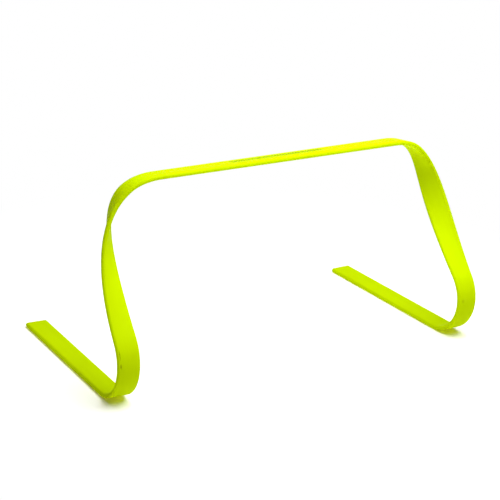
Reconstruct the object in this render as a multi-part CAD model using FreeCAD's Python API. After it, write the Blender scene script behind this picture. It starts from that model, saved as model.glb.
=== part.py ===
# Speed hurdle: a free-standing training hurdle made of one strip of soft plastic.
# The flat crossbar bends down at two shoulders into the legs. Each leg turns a quarter round its own
# length on the way down, folds at the heel, and runs back along the floor as a foot.
# The strip is cut into named zones where it flexes: shoulders and heels bend, the other runs stay straight.
# +X is right along the crossbar, +Y is back along the feet, +Z is up. The origin is on the floor, in the
# middle of the footprint. Lengths are in millimetres and angles in degrees.
import FreeCAD, Part
import os
from math import cos, degrees, radians, sin
from FreeCAD import Placement, Rotation, Vector

# Overall sizes
overall_height = 229.0
overall_width = 467.0

# Strip: a flat section with fully round edges, the same from end to end
strip_width = 26.4
strip_thickness = 5.2

# Crossbar: the setback is measured from the line where the heels leave the floor
crossbar_length = 298.0
crossbar_setback = 35.0
crossbar_tilt = 8.0

# Shoulder and leg: how far the bend is drawn out along each, where the shoulder ends and the twist begins,
# where the twist would end if the heel let it run on, and how many outlines of the strip each of the two
# runs is lofted through
shoulder_reach = 55.0
leg_reach = 140.0
shoulder_end_share = 0.5
twist_start_share = 0.27
twist_end_share = 1.15
shoulder_section_count = 13
leg_section_count = 9

# Heel: bend radius at the middle of the strip's thickness, and how far the leg above it leans back
heel_radius = 43.0
leg_lean = 42.0

# Foot: flat on the floor, turned a little inwards, with the cut end's edges broken
foot_length = 196.0
foot_toe_in = 2.5
end_edge_radius = 0.8

# Directions on the right-hand side, and the places that the zones share
right = Vector(1, 0, 0)
up = Vector(0, 0, 1)
toe_in = radians(foot_toe_in)
foot_back = Vector(-sin(toe_in), cos(toe_in), 0)
foot_across = Vector(cos(toe_in), sin(toe_in), 0)
half_thickness = strip_thickness / 2
half_flat = strip_width / 2 - half_thickness

heel_side_reach = heel_radius * sin(toe_in) + half_flat * cos(toe_in) + half_thickness
heel_front_reach = heel_radius * cos(toe_in) + half_flat * sin(toe_in) + half_thickness
foot_back_reach = foot_length * cos(toe_in) + strip_width / 2 * sin(toe_in)
heel_start = Vector(
    overall_width / 2 - heel_side_reach,
    (heel_front_reach - foot_back_reach) / 2,
    half_thickness,
)
heel_centre = heel_start + up * heel_radius
heel_fold = 90 + leg_lean
heel_turn = Rotation(-foot_across, heel_fold)
heel_top = heel_centre + heel_turn.multVec(heel_start - heel_centre)

leg_up = heel_turn.multVec(-foot_back)
leg_face = heel_turn.multVec(up)

crossbar_face = Rotation(right, -crossbar_tilt).multVec(up)
crossbar_end = Vector(
    crossbar_length / 2,
    heel_start.y + crossbar_setback,
    overall_height - half_flat * sin(radians(crossbar_tilt)) - half_thickness,
)

# The shoulder's centre line leaves the crossbar straight and arrives in line with the leg
shoulder_line = Part.BezierCurve()
shoulder_line.setPoles(
    [crossbar_end, crossbar_end + right * shoulder_reach, heel_top + leg_up * leg_reach, heel_top]
)


def outline(point, along, face):
    """The strip's outline, square to the strip at a point, with its top face turned towards face."""
    across = Vector(half_flat, 0, 0)
    thick = Vector(0, half_thickness, 0)
    edge = Vector(half_flat + half_thickness, 0, 0)
    wire = Part.Wire(
        [
            Part.LineSegment(-across - thick, across - thick).toShape(),
            Part.Arc(across - thick, edge, across + thick).toShape(),
            Part.LineSegment(across + thick, -across + thick).toShape(),
            Part.Arc(-across + thick, -edge, -across - thick).toShape(),
        ]
    )
    wire.Placement = Placement(point, Rotation(face.cross(along), face, along, "ZYX"))
    return wire


def carried_face(along):
    """The crossbar's top face, carried round the bend with no twist."""
    return Rotation(right, along).multVec(crossbar_face)


def eased(run):
    """A share of a run, with a gentle start and a gentle end."""
    return run * run * (3 - 2 * run)


def twist_share(share):
    """How much of the twist is done at a share of the shoulder's line: all of it at the heel."""
    whole_run = twist_end_share - twist_start_share
    run = max(0, share - twist_start_share) / whole_run
    return eased(run) / eased((1 - twist_start_share) / whole_run)


def twisted_outline(share):
    """The strip's outline at a share of the way from the crossbar's end to the heel's top."""
    untwisted = carried_face(-leg_up)
    full_twist = degrees(untwisted.getAngle(leg_face))
    if untwisted.cross(leg_face).dot(leg_up) > 0:
        full_twist = -full_twist
    along = shoulder_line.tangent(share)[0]
    turn = Rotation(along, full_twist * twist_share(share))
    return outline(shoulder_line.value(share), along, turn.multVec(carried_face(along)))


def twisted_run(start_share, end_share, sections):
    """The strip between two shares of the shoulder's line."""
    step = (end_share - start_share) / (sections - 1)
    wires = [twisted_outline(start_share + step * number) for number in range(sections)]
    return Part.makeLoft(wires, True, False)


def crossbar():
    """The straight run at the top, its top face tilted a little back."""
    left_end = Vector(-crossbar_end.x, crossbar_end.y, crossbar_end.z)
    return Part.Face(outline(left_end, right, crossbar_face)).extrude(right * crossbar_length)


def shoulder():
    """The bend at the crossbar's end, where the twist begins."""
    return twisted_run(0, shoulder_end_share, shoulder_section_count)


def leg():
    """The long run from the shoulder down to the heel, where the twist ends."""
    return twisted_run(shoulder_end_share, 1, leg_section_count)


def heel():
    """The round fold from the floor up into the leg."""
    floor_end = Part.Face(outline(heel_start, -foot_back, up))
    return floor_end.revolve(heel_centre, -foot_across, heel_fold)


def foot():
    """The flat run along the floor, cut square at its free end."""
    run = Part.Face(outline(heel_start, foot_back, up)).extrude(foot_back * foot_length)
    cut_end = max(run.Faces, key=lambda face: face.CenterOfMass.dot(foot_back))
    return run.makeFillet(end_edge_radius, cut_end.Edges).Solids[0]


os.makedirs("parts", exist_ok=True)
crossbar().exportStep("parts/crossbar.step")
for zone in (shoulder, leg, heel, foot):
    solid = zone()
    solid.exportStep(f"parts/right_{zone.__name__}.step")
    solid.mirror(Vector(0, 0, 0), right).exportStep(f"parts/left_{zone.__name__}.step")
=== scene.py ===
from math import cos, pi, radians, sin

import bmesh
import bpy
from mathutils import Matrix, Quaternion, Vector


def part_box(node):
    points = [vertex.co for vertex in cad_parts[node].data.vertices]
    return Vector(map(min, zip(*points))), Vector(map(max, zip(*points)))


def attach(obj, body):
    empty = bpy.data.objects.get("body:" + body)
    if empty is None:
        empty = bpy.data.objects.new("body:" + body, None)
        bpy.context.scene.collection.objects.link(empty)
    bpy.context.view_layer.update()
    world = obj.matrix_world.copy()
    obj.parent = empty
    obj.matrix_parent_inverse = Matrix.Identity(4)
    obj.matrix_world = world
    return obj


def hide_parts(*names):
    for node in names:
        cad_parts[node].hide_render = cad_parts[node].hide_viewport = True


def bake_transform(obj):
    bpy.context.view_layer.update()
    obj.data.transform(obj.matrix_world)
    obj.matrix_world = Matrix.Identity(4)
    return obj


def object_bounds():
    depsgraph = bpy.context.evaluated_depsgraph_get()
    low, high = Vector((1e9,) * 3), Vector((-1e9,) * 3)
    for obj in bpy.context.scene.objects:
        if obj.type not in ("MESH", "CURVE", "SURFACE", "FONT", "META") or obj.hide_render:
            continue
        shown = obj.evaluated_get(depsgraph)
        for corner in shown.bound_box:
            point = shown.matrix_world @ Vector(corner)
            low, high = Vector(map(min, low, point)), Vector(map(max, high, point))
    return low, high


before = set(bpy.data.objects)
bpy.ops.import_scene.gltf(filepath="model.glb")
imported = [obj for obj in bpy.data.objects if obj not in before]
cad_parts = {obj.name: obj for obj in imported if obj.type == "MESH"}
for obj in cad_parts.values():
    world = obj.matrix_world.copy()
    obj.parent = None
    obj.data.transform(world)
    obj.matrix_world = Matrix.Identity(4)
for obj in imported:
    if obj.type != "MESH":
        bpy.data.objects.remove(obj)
cad_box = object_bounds()
cad_low, cad_high = cad_box

# Crossbar
# The straight run at the top: a flat strip of soft fluorescent PVC, extruded with fully round edges.
# It is tilted a little back, and has a row of slanted strokes in dark ink printed on its top face.
strip_width = 0.0264
strip_thickness = 0.0052
half_thickness = strip_thickness / 2
half_flat = strip_width / 2 - half_thickness
round_edge_steps = 12
flat_face_cuts = 9

right = Vector((1, 0, 0))
up = Vector((0, 0, 1))
crossbar_low, crossbar_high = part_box("crossbar")
crossbar_middle = (crossbar_low + crossbar_high) / 2
crossbar_end = Vector((crossbar_high.x, crossbar_middle.y, crossbar_middle.z))
crossbar_tilt = radians(8)
crossbar_face = Quaternion(right, -crossbar_tilt) @ up
crossbar_spans = 40

plastic_colour = (0.676, 0.90, 0.0, 1)
scuffed_colour = (0.70, 0.90, 0.03, 1)
glow_colour = (0.85, 0.89, 0.0, 1)
glow_share = 0.3
soaked_colour = (0.31, 0.275, 0.0, 1)
clear_colour = (1, 1, 1, 1)
plastic_shine = 0.005
grain_strength = 0.1
grain_depth = 0.00006
ink_colour = (0.020, 0.026, 0.004, 1)
stroke_row_length = 0.118
stroke_row_middle = 0.0022
stroke_height = 0.0075
stroke_pitch = 0.0034
stroke_share = 0.52
stroke_slant = 0.35
print_wear_cells = (700, 700, 700)
smooth_angle = radians(40)
end_face_slot = 1


def strip_place(point, along, face):
    """Where the strip's section stands: X across the strip, Y out of its top face and Z along it."""
    place = Matrix((face.cross(along), face, along)).transposed().to_4x4()
    place.translation = point
    return place


def strip_section(bm):
    """The strip's flat section as a closed ring of edges: two round edges, joined by two flat faces."""
    ends = []
    for edge in (1, -1):
        first = bm.verts.new((edge * half_flat, -edge * half_thickness, 0))
        turned = bmesh.ops.spin(
            bm, geom=[first], cent=(edge * half_flat, 0, 0), axis=(0, 0, 1), angle=pi, steps=round_edge_steps
        )
        last = next(part for part in turned["geom_last"] if isinstance(part, bmesh.types.BMVert))
        ends.append((first, last))
    (right_first, right_last), (left_first, left_last) = ends
    flats = [bm.edges.new((right_last, left_first)), bm.edges.new((left_last, right_first))]
    bmesh.ops.subdivide_edges(bm, edges=flats, cuts=flat_face_cuts)
    return bm.edges[:]


def strip_run(places, start):
    """One run of the strip, extruded from place to place and closed at both ends, where it takes its second
    material. Each point keeps where it lies on the straight strip, before bending: along from the crossbar's
    middle, across, and out of the middle of the thickness."""
    bm = bmesh.new()
    straight = bm.verts.layers.float_vector.new("straight")
    ring = strip_section(bm)
    for vert in bm.verts:
        vert[straight] = (start, vert.co.x, vert.co.y)
    start_faces = bmesh.ops.contextual_create(bm, geom=ring)["faces"]
    bmesh.ops.transform(bm, matrix=places[0], verts=bm.verts[:])
    along = start
    for before, after in zip(places, places[1:]):
        along += (after.translation - before.translation).length
        grown = bmesh.ops.extrude_edge_only(bm, edges=ring)["geom"]
        verts = [part for part in grown if isinstance(part, bmesh.types.BMVert)]
        bmesh.ops.transform(bm, matrix=after @ before.inverted(), verts=verts)
        for vert in verts:
            vert[straight] = (along, vert[straight].y, vert[straight].z)
        edges = [part for part in grown if isinstance(part, bmesh.types.BMEdge)]
        ring = [edge for edge in edges if set(edge.verts) <= set(verts)]
    end_faces = bmesh.ops.contextual_create(bm, geom=ring)["faces"]
    for face in start_faces + end_faces:
        face.material_index = end_face_slot
    return bm, ring, end_faces, along


def finish_strip(bm, name, side, *materials):
    """A run of the strip as an object, mirrored for the left-hand side."""
    straight = bm.verts.layers.float_vector["straight"]
    if side < 0:
        bmesh.ops.scale(bm, vec=(-1, 1, 1), verts=bm.verts[:])
        for vert in bm.verts:
            vert[straight] = (-vert[straight].x, vert[straight].y, vert[straight].z)
    bmesh.ops.recalc_face_normals(bm, faces=bm.faces[:])
    mesh = bpy.data.meshes.new(name)
    bm.to_mesh(mesh)
    bm.free()
    mesh.shade_smooth()
    mesh.set_sharp_from_angle(angle=smooth_angle)
    for material in materials:
        mesh.materials.append(material)
    piece = bpy.data.objects.new(name, mesh)
    bpy.context.scene.collection.objects.link(piece)
    return piece


def new_node(tree, kind, **settings):
    """A shader node of this kind, with its settings."""
    node = tree.nodes.new("ShaderNode" + kind)
    for name, value in settings.items():
        setattr(node, name, value)
    return node


def stretched_noise(tree, vector, per_metre, detail):
    """Noise on the straight strip, with this many cells to the metre along, across and out."""
    scaled = new_node(tree, "VectorMath", operation="MULTIPLY")
    scaled.inputs[1].default_value = per_metre
    tree.links.new(vector, scaled.inputs[0])
    noise = new_node(tree, "TexNoise")
    noise.inputs["Scale"].default_value = 1
    noise.inputs["Detail"].default_value = detail
    tree.links.new(scaled.outputs["Vector"], noise.inputs["Vector"])
    return noise.outputs["Fac"]


def mapped(tree, value, given, wanted):
    """A value brought from a given range to a wanted one, and kept inside it."""
    node = new_node(tree, "MapRange", clamp=True)
    for number, bound in enumerate((*given, *wanted), start=1):
        node.inputs[number].default_value = bound
    tree.links.new(value, node.inputs["Value"])
    return node.outputs["Result"]


def combined(tree, operation, first, second):
    """Two values, or a value and a number, put together by one operation."""
    node = new_node(tree, "Math", operation=operation)
    for socket, source in zip(node.inputs, (first, second)):
        if isinstance(source, (int, float)):
            socket.default_value = source
        else:
            tree.links.new(source, socket)
    return node.outputs["Value"]


def mixed_colour(tree, factor, first, second):
    """One colour over another, by a mask. The node's colour sockets stand after those for other kinds."""
    node = new_node(tree, "Mix", data_type="RGBA")
    colour_inputs = node.inputs[6:8]
    colour_output = node.outputs[2]
    tree.links.new(factor, node.inputs["Factor"])
    for socket, source in zip(colour_inputs, (first, second)):
        if isinstance(source, tuple):
            socket.default_value = source
        else:
            tree.links.new(source, socket)
    return colour_output


def shader_group(name, *sockets):
    """An empty group of shader nodes with these sockets: the group and its two ends."""
    group = bpy.data.node_groups.new(name, "ShaderNodeTree")
    for socket, direction, kind in sockets:
        group.interface.new_socket(socket, in_out=direction, socket_type="NodeSocket" + kind)
    return group, group.nodes.new("NodeGroupInput"), group.nodes.new("NodeGroupOutput")


# Extruded plastic, shared by all runs: lines drawn by the die, a satin grain, slow changes of tone and fine
# scuffs. Cells are counted to the metre, and most noise lies in its usual range.
die_line_cells = (9, 1500, 1500)
grain_cells = (2600, 2600, 2600)
tone_cells = (16, 55, 55)
scuff_streak_cells = (90, 1100, 1100)
scuff_patch_cells = (22, 70, 70)
usual_noise = (0.3, 0.7)
scuff_roughness = 0.2
die_line_height = 0.6
grain_height = 0.4

extruded_plastic, group_in, group_out = shader_group(
    "extruded_plastic",
    ("Straight", "INPUT", "Vector"),
    ("Plastic", "INPUT", "Color"),
    ("Scuffed", "INPUT", "Color"),
    ("Colour", "OUTPUT", "Color"),
    ("Roughness", "OUTPUT", "Float"),
    ("Height", "OUTPUT", "Float"),
)
straight = group_in.outputs["Straight"]
die_lines = stretched_noise(extruded_plastic, straight, die_line_cells, 2)
grain = stretched_noise(extruded_plastic, straight, grain_cells, 1)
tone = stretched_noise(extruded_plastic, straight, tone_cells, 2)
scuff_streaks = stretched_noise(extruded_plastic, straight, scuff_streak_cells, 0)
scuff_patches = stretched_noise(extruded_plastic, straight, scuff_patch_cells, 1)
scuffs = combined(
    extruded_plastic,
    "MULTIPLY",
    mapped(extruded_plastic, scuff_streaks, (0.66, 0.78), (0, 1)),
    mapped(extruded_plastic, scuff_patches, (0.52, 0.72), (0, 0.5)),
)
shade = combined(
    extruded_plastic,
    "ADD",
    mapped(extruded_plastic, tone, usual_noise, (0.97, 1.03)),
    mapped(extruded_plastic, die_lines, usual_noise, (-0.015, 0.015)),
)
toned = new_node(extruded_plastic, "VectorMath", operation="SCALE")
extruded_plastic.links.new(group_in.outputs["Plastic"], toned.inputs[0])
extruded_plastic.links.new(shade, toned.inputs["Scale"])
extruded_plastic.links.new(
    mixed_colour(extruded_plastic, scuffs, toned.outputs["Vector"], group_in.outputs["Scuffed"]),
    group_out.inputs["Colour"],
)
satin = combined(
    extruded_plastic,
    "ADD",
    mapped(extruded_plastic, grain, usual_noise, (0.40, 0.48)),
    mapped(extruded_plastic, tone, usual_noise, (-0.03, 0.03)),
)
rubbed = combined(extruded_plastic, "MULTIPLY", scuffs, scuff_roughness)
extruded_plastic.links.new(combined(extruded_plastic, "ADD", satin, rubbed), group_out.inputs["Roughness"])
extruded_plastic.links.new(
    combined(
        extruded_plastic,
        "ADD",
        combined(extruded_plastic, "MULTIPLY", die_lines, die_line_height),
        combined(extruded_plastic, "MULTIPLY", grain, grain_height),
    ),
    group_out.inputs["Height"],
)


def strip_material(name, through_colour=soaked_colour):
    """A material with the extruded plastic in it: the material, its shader, the plastic and the straight
    strip. The plastic is a little translucent: it glows with light from behind, and some light from the lamps
    soaks through and colours its shadow."""
    material = bpy.data.materials.new(name)
    material.use_nodes = True
    tree = material.node_tree
    shader = tree.nodes["Principled BSDF"]
    shader.inputs["Specular IOR Level"].default_value = plastic_shine
    position = new_node(tree, "Attribute", attribute_name="straight")
    plastic = new_node(tree, "Group", node_tree=extruded_plastic)
    plastic.inputs["Plastic"].default_value = plastic_colour
    plastic.inputs["Scuffed"].default_value = scuffed_colour
    tree.links.new(position.outputs["Vector"], plastic.inputs["Straight"])
    bump = new_node(tree, "Bump")
    bump.inputs["Strength"].default_value = grain_strength
    bump.inputs["Distance"].default_value = grain_depth
    tree.links.new(plastic.outputs["Height"], bump.inputs["Height"])
    tree.links.new(plastic.outputs["Colour"], shader.inputs["Base Color"])
    tree.links.new(plastic.outputs["Roughness"], shader.inputs["Roughness"])
    tree.links.new(bump.outputs["Normal"], shader.inputs["Normal"])
    glow = new_node(tree, "BsdfTranslucent")
    glow.inputs["Color"].default_value = glow_colour
    body = new_node(tree, "MixShader")
    body.inputs["Fac"].default_value = glow_share
    tree.links.new(shader.outputs["BSDF"], body.inputs[1])
    tree.links.new(glow.outputs["BSDF"], body.inputs[2])
    ray = new_node(tree, "LightPath")
    soaked = new_node(tree, "BsdfTransparent")
    soaked.inputs["Color"].default_value = through_colour
    surface = new_node(tree, "MixShader")
    tree.links.new(ray.outputs["Is Shadow Ray"], surface.inputs["Fac"])
    tree.links.new(body.outputs["Shader"], surface.inputs[1])
    tree.links.new(soaked.outputs["BSDF"], surface.inputs[2])
    tree.links.new(surface.outputs["Shader"], tree.nodes["Material Output"].inputs["Surface"])
    return material, shader, plastic, position


plain_plastic, _, _, _ = strip_material("plain_plastic")
# The strip goes on unbroken from run to run, so the faces that close the runs hold no light back
joint_plastic, _, _, _ = strip_material("joint_plastic", clear_colour)
crossbar_plastic, shader, plastic, position = strip_material("crossbar_plastic")
tree = crossbar_plastic.node_tree
place = new_node(tree, "SeparateXYZ")
tree.links.new(position.outputs["Vector"], place.inputs["Vector"])
along, across, out = place.outputs
slanted = combined(tree, "ADD", along, combined(tree, "MULTIPLY", across, stroke_slant))
stroke = combined(
    tree, "LESS_THAN", combined(tree, "FLOORED_MODULO", slanted, stroke_pitch), stroke_pitch * stroke_share
)
in_row = combined(tree, "LESS_THAN", combined(tree, "ABSOLUTE", slanted, 0), stroke_row_length / 2)
from_row = combined(tree, "ABSOLUTE", combined(tree, "SUBTRACT", across, stroke_row_middle), 0)
in_height = combined(tree, "LESS_THAN", from_row, stroke_height / 2)
on_top = combined(tree, "GREATER_THAN", out, 0)
printed = combined(tree, "MULTIPLY", stroke, combined(tree, "MULTIPLY", in_row, in_height))
print_wear = stretched_noise(tree, position.outputs["Vector"], print_wear_cells, 3)
worn_print = mapped(tree, print_wear, (0.36, 0.46), (0.75, 1))
ink = combined(tree, "MULTIPLY", combined(tree, "MULTIPLY", printed, on_top), worn_print)
tree.links.new(mixed_colour(tree, ink, plastic.outputs["Colour"], ink_colour), shader.inputs["Base Color"])

crossbar_places = []
for span in range(crossbar_spans + 1):
    point = crossbar_end.copy()
    point.x = crossbar_end.x * (2 * span / crossbar_spans - 1)
    crossbar_places.append(strip_place(point, right, crossbar_face))
run, _, _, _ = strip_run(crossbar_places, -crossbar_end.x)
crossbar = finish_strip(run, "crossbar_run", 1, crossbar_plastic, joint_plastic)
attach(crossbar, "crossbar")
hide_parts("crossbar")

# Shoulders
# The two bends at the crossbar's ends, where the strip turns down and starts to twist.
# Each is the same strip, warmed and formed to shape, and it twists further when the hurdle is trodden on.
heel_radius = 0.043
leg_lean = radians(42)
foot_toe_in = radians(2.5)
shoulder_reach = 0.055
leg_reach = 0.140
shoulder_end_share = 0.5
twist_start_share = 0.27
twist_end_share = 1.15
shoulder_spans = 48

foot_back = Vector((-sin(foot_toe_in), cos(foot_toe_in), 0))
foot_across = Vector((cos(foot_toe_in), sin(foot_toe_in), 0))
heel_start = Vector(
    (
        cad_high.x - heel_radius * sin(foot_toe_in) - half_flat * cos(foot_toe_in) - half_thickness,
        cad_low.y + heel_radius * cos(foot_toe_in) + half_flat * sin(foot_toe_in) + half_thickness,
        half_thickness,
    )
)
heel_centre = heel_start + up * heel_radius
heel_fold = pi / 2 + leg_lean
heel_turn = Quaternion(-foot_across, heel_fold)
heel_top = heel_centre + heel_turn @ (heel_start - heel_centre)
leg_down = heel_turn @ foot_back
leg_face = heel_turn @ up


def carried_face(along):
    """The crossbar's top face, carried round the bend with no twist."""
    return right.rotation_difference(along) @ crossbar_face


untwisted = carried_face(leg_down)
full_twist = untwisted.angle(leg_face)
if untwisted.cross(leg_face).dot(leg_down) < 0:
    full_twist = -full_twist


def eased(run):
    """A share of a run, with a gentle start and a gentle end."""
    return run * run * (3 - 2 * run)


def shoulder_place(share):
    """The strip at a share of the smooth line from the crossbar's end to the heel's top."""
    poles = (crossbar_end, crossbar_end + right * shoulder_reach, heel_top - leg_down * leg_reach, heel_top)
    before, after = 1 - share, share
    weights = (before**3, 3 * before**2 * after, 3 * before * after**2, after**3)
    point = sum((pole * weight for pole, weight in zip(poles, weights)), Vector())
    sides = [end - start for start, end in zip(poles, poles[1:])]
    slopes = (before**2, 2 * before * after, after**2)
    along = sum((side * slope for side, slope in zip(sides, slopes)), Vector()).normalized()
    whole_run = twist_end_share - twist_start_share
    turned = eased(max(0, share - twist_start_share) / whole_run) / eased((1 - twist_start_share) / whole_run)
    twist = Quaternion(along, full_twist * turned)
    return strip_place(point, along, twist @ carried_face(along))


shoulder_places = [
    shoulder_place(shoulder_end_share * span / shoulder_spans) for span in range(shoulder_spans + 1)
]
for side, hand in ((-1, "left"), (1, "right")):
    run, _, _, leg_start = strip_run(shoulder_places, crossbar_end.x)
    shoulder = finish_strip(run, hand + "_shoulder_run", side, plain_plastic, joint_plastic)
    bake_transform(shoulder)
    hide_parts(hand + "_shoulder")

# Legs
# The long runs from the shoulders down to the heels, on which the strip ends its quarter turn.
# They are the same formed strip, and stay nearly straight while the shoulders and heels flex.
leg_spans = 70

leg_places = [
    shoulder_place(shoulder_end_share + (1 - shoulder_end_share) * span / leg_spans)
    for span in range(leg_spans + 1)
]
for side, hand in ((-1, "left"), (1, "right")):
    run, _, _, heel_reached = strip_run(leg_places, leg_start)
    leg = finish_strip(run, hand + "_leg_run", side, plain_plastic, joint_plastic)
    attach(leg, hand + "_leg")
    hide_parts(hand + "_leg")

# Heels
# The round folds at the floor, bent warm over a former, which left a few small dark rub marks in front.
# They are the springs of the hurdle: they fold up when it is trodden down, and lift it again.
heel_spans = 66
floor_touch_start = 0.428
touch_fade_length = 0.012
touch_height_share = 0.6
drag_line_cells = (60, 900, 900)
grime_cells = (40, 130, 130)
grime_roughness = 0.3
smudge_cells = (1100, 1900, 1900)
spot_core_share = 0.3
dusty_colour = (0.34, 0.42, 0.10, 1)
rub_colour = (0.07, 0.09, 0.005, 1)
# Where each rub mark lies on the straight strip, its half sizes, and how dark it is
rub_marks = (
    ((-0.3705, -0.0103, -half_thickness), (0.0065, 0.0007, 0.001), 0.85),
    ((-0.3821, -0.0098, -half_thickness), (0.0031, 0.0012, 0.001), 0.85),
    ((0.3837, 0.0070, -half_thickness), (0.0028, 0.0024, 0.001), 0.26),
)


def soft_spot(tree, vector, middle, half_size):
    """A spot on the straight strip that fades out towards its edge."""
    moved = new_node(tree, "VectorMath", operation="SUBTRACT")
    moved.inputs[1].default_value = middle
    tree.links.new(vector, moved.inputs[0])
    sized = new_node(tree, "VectorMath", operation="DIVIDE")
    sized.inputs[1].default_value = half_size
    tree.links.new(moved.outputs["Vector"], sized.inputs[0])
    reach = new_node(tree, "VectorMath", operation="LENGTH")
    tree.links.new(sized.outputs["Vector"], reach.inputs[0])
    return mapped(tree, reach.outputs["Value"], (spot_core_share, 1), (1, 0))


# Scuffs from the floor, on the strip's underside beyond a start along it
floor_scuffs, group_in, group_out = shader_group(
    "floor_scuffs",
    ("Straight", "INPUT", "Vector"),
    ("Start", "INPUT", "Float"),
    ("Mask", "OUTPUT", "Float"),
)
place = new_node(floor_scuffs, "SeparateXYZ")
floor_scuffs.links.new(group_in.outputs["Straight"], place.inputs["Vector"])
past_start = combined(
    floor_scuffs,
    "SUBTRACT",
    combined(floor_scuffs, "ABSOLUTE", place.outputs["X"], 0),
    group_in.outputs["Start"],
)
touching = combined(
    floor_scuffs,
    "MULTIPLY",
    mapped(floor_scuffs, past_start, (0, touch_fade_length), (0, 1)),
    mapped(floor_scuffs, place.outputs["Z"], (-half_thickness, -touch_height_share * half_thickness), (1, 0)),
)
drag_lines = stretched_noise(floor_scuffs, group_in.outputs["Straight"], drag_line_cells, 2)
grime = stretched_noise(floor_scuffs, group_in.outputs["Straight"], grime_cells, 3)
rubbed_off = combined(
    floor_scuffs,
    "ADD",
    mapped(floor_scuffs, drag_lines, (0.55, 0.75), (0, 0.5)),
    mapped(floor_scuffs, grime, (0.42, 0.72), (0, 0.45)),
)
floor_scuffs.links.new(combined(floor_scuffs, "MULTIPLY", touching, rubbed_off), group_out.inputs["Mask"])


def floor_worn_material(name, start):
    """A strip material with scuffs from the floor: the material, its shader, its position and its colour."""
    material, shader, plastic, position = strip_material(name)
    tree = material.node_tree
    worn = new_node(tree, "Group", node_tree=floor_scuffs)
    worn.inputs["Start"].default_value = start
    tree.links.new(position.outputs["Vector"], worn.inputs["Straight"])
    colour = mixed_colour(tree, worn.outputs["Mask"], plastic.outputs["Colour"], dusty_colour)
    rubbed = combined(tree, "MULTIPLY", worn.outputs["Mask"], grime_roughness)
    roughness = combined(tree, "ADD", plastic.outputs["Roughness"], rubbed)
    tree.links.new(colour, shader.inputs["Base Color"])
    tree.links.new(roughness, shader.inputs["Roughness"])
    return material, shader, position, colour


heel_plastic, shader, position, colour = floor_worn_material("heel_plastic", floor_touch_start)
tree = heel_plastic.node_tree
smudge_noise = stretched_noise(tree, position.outputs["Vector"], smudge_cells, 2)
smudges = mapped(tree, smudge_noise, (0.35, 0.6), (0.35, 1))
for middle, half_size, darkness in rub_marks:
    spot = combined(tree, "MULTIPLY", soft_spot(tree, position.outputs["Vector"], middle, half_size), smudges)
    colour = mixed_colour(tree, combined(tree, "MULTIPLY", spot, darkness), colour, rub_colour)
tree.links.new(colour, shader.inputs["Base Color"])

heel_places = []
for span in range(heel_spans + 1):
    turn = Quaternion(-foot_across, heel_fold * (1 - span / heel_spans))
    point = heel_centre + turn @ (heel_start - heel_centre)
    heel_places.append(strip_place(point, turn @ foot_back, turn @ up))
for side, hand in ((-1, "left"), (1, "right")):
    run, _, _, foot_start = strip_run(heel_places, heel_reached)
    heel = finish_strip(run, hand + "_heel_run", side, heel_plastic, joint_plastic)
    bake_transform(heel)
    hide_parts(hand + "_heel")

# Feet
# The flat runs on the floor that hold the hurdle up, turned a little inwards.
# Each is the end of the strip, cut square with a saw, with the sharp edges of the cut broken.
foot_length = 0.196
end_edge_radius = 0.0008
end_edge_segments = 4
foot_spans = 30
sawn_colour = (0.74, 0.90, 0.06, 1)
saw_line_cells = (40, 90, 3200)
saw_line_depth = 0.0002
cut_face_slot = 2

foot_plastic, _, _, _ = floor_worn_material("foot_plastic", 0)
sawn_end, shader, plastic, position = strip_material("sawn_end")
plastic.inputs["Plastic"].default_value = sawn_colour
tree = sawn_end.node_tree
saw_lines = stretched_noise(tree, position.outputs["Vector"], saw_line_cells, 2)
tree.links.new(mapped(tree, saw_lines, usual_noise, (0.55, 0.72)), shader.inputs["Roughness"])
bump = shader.inputs["Normal"].links[0].from_node
bump.inputs["Distance"].default_value = saw_line_depth
tree.links.new(saw_lines, bump.inputs["Height"])

foot_places = [
    strip_place(heel_start + foot_back * (foot_length * span / foot_spans), foot_back, up)
    for span in range(foot_spans + 1)
]
for side, hand in ((-1, "left"), (1, "right")):
    run, end_ring, cut_faces, _ = strip_run(foot_places, foot_start)
    for face in cut_faces:
        face.material_index = cut_face_slot
    bmesh.ops.bevel(
        run,
        geom=end_ring,
        offset=end_edge_radius,
        segments=end_edge_segments,
        profile=0.5,
        affect="EDGES",
        material=-1,
    )
    straight = run.verts.layers.float_vector["straight"]
    for vert in run.verts:
        across, out, along = foot_places[0].inverted() @ vert.co
        vert[straight] = (foot_start + along, across, out)
    foot = finish_strip(run, hand + "_foot_run", side, foot_plastic, joint_plastic, sawn_end)
    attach(foot, hand + "_foot")
    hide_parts(hand + "_foot")

# Floor
# A plain pale studio floor, which runs on out of sight. It shows a little brighter than it lights the hurdle,
# and turns plain white beyond the reach of the hurdle's shadow.
floor_size = 12.0
floor_drop = 0.0001
floor_colour = (0.92, 0.92, 0.92, 1)
floor_seen_colour = (1.3, 1.3, 1.3, 1)
shadow_reach = 0.28
white_reach = 0.50


def seen_rays(tree):
    """A mask of the rays that see the white room: the camera's, reflected ones, and those that pass straight
    through a piece, but not those that scatter in the strip."""
    ray = new_node(tree, "LightPath")
    seen = combined(tree, "MAXIMUM", ray.outputs["Is Camera Ray"], ray.outputs["Is Glossy Ray"])
    through = combined(tree, "SUBTRACT", ray.outputs["Is Transmission Ray"], ray.outputs["Is Diffuse Ray"])
    return combined(tree, "MAXIMUM", seen, through)


bm = bmesh.new()
bmesh.ops.create_grid(bm, x_segments=1, y_segments=1, size=floor_size / 2)
bmesh.ops.translate(bm, vec=(0, 0, -floor_drop), verts=bm.verts[:])
mesh = bpy.data.meshes.new("floor")
bm.to_mesh(mesh)
bm.free()
floor = bpy.data.objects.new("floor", mesh)
bpy.context.scene.collection.objects.link(floor)

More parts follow.
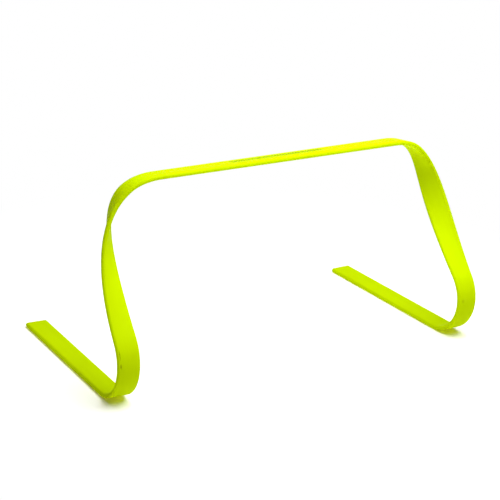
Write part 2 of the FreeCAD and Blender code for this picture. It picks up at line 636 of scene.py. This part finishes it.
floor_paper = bpy.data.materials.new("floor_paper")
floor_paper.use_nodes = True
tree = floor_paper.node_tree
tree.nodes.remove(tree.nodes["Principled BSDF"])
paper = new_node(tree, "BsdfDiffuse")
seen = seen_rays(tree)
tree.links.new(mixed_colour(tree, seen, floor_colour, floor_seen_colour), paper.inputs["Color"])
floor_point = new_node(tree, "TexCoord")
from_hurdle = new_node(tree, "VectorMath", operation="LENGTH")
tree.links.new(floor_point.outputs["Object"], from_hurdle.inputs[0])
beyond = mapped(tree, from_hurdle.outputs["Value"], (shadow_reach, white_reach), (0, 1))
white = new_node(tree, "Emission")
blown_out = new_node(tree, "MixShader")
tree.links.new(combined(tree, "MULTIPLY", seen, beyond), blown_out.inputs["Fac"])
tree.links.new(paper.outputs["BSDF"], blown_out.inputs[1])
tree.links.new(white.outputs["Emission"], blown_out.inputs[2])
tree.links.new(blown_out.outputs["Shader"], tree.nodes["Material Output"].inputs["Surface"])
mesh.materials.append(floor_paper)

# Light
# One large soft lamp overhead, a little in front and to the right, and a little light from a white
# ceiling, which fades to nothing at the foot of the walls.
room_colour = (1, 1, 1, 1)
ceiling_strength = 0.06
ceiling_height_share = 0.6
softbox_size = 1.0
softbox_power = 17.4
softbox_place = Vector((0.15, -0.24, 1.05))

world = bpy.data.worlds.new("studio")
bpy.context.scene.world = world
world.use_nodes = True
tree = world.node_tree
room = tree.nodes["Background"]
room.inputs["Color"].default_value = room_colour
direction = new_node(tree, "TexCoord")
height = new_node(tree, "SeparateXYZ")
tree.links.new(direction.outputs["Generated"], height.inputs["Vector"])
lit = mapped(tree, height.outputs["Z"], (0, ceiling_height_share), (0, ceiling_strength))
tree.links.new(combined(tree, "MAXIMUM", lit, seen_rays(tree)), room.inputs["Strength"])

softbox_lamp = bpy.data.lights.new("overhead_softbox", "AREA")
softbox_lamp.shape = "SQUARE"
softbox_lamp.size = softbox_size
softbox_lamp.energy = softbox_power
softbox = bpy.data.objects.new("overhead_softbox", softbox_lamp)
softbox.location = softbox_place
softbox.visible_camera = False
softbox.rotation_euler = (-softbox_place).to_track_quat("-Z", "Y").to_euler()
bpy.context.scene.collection.objects.link(softbox)

# Camera
# It stands in front and to the left, looks a little down, and is tipped slightly to one side.
camera_azimuth = radians(32.77)
camera_pitch = radians(20.96)
camera_roll = radians(3.36)
camera_distance = 2.2355
camera_target = Vector((-0.0135, -0.01611, 0.11061))
camera_lens = 143.72
sensor_width = 36.0

lens = bpy.data.cameras.new("camera")
lens.sensor_width = sensor_width
lens.lens = camera_lens
camera = bpy.data.objects.new("camera", lens)
turn = Matrix.Rotation(-camera_azimuth, 4, "Z") @ Matrix.Rotation(pi / 2 - camera_pitch, 4, "X")
turn = turn @ Matrix.Rotation(camera_roll, 4, "Z")
camera.matrix_world = Matrix.Translation(camera_target) @ turn @ Matrix.Translation((0, 0, camera_distance))
bpy.context.scene.collection.objects.link(camera)
bpy.context.scene.camera = camera
bpy.context.scene.view_settings.view_transform = "Standard"
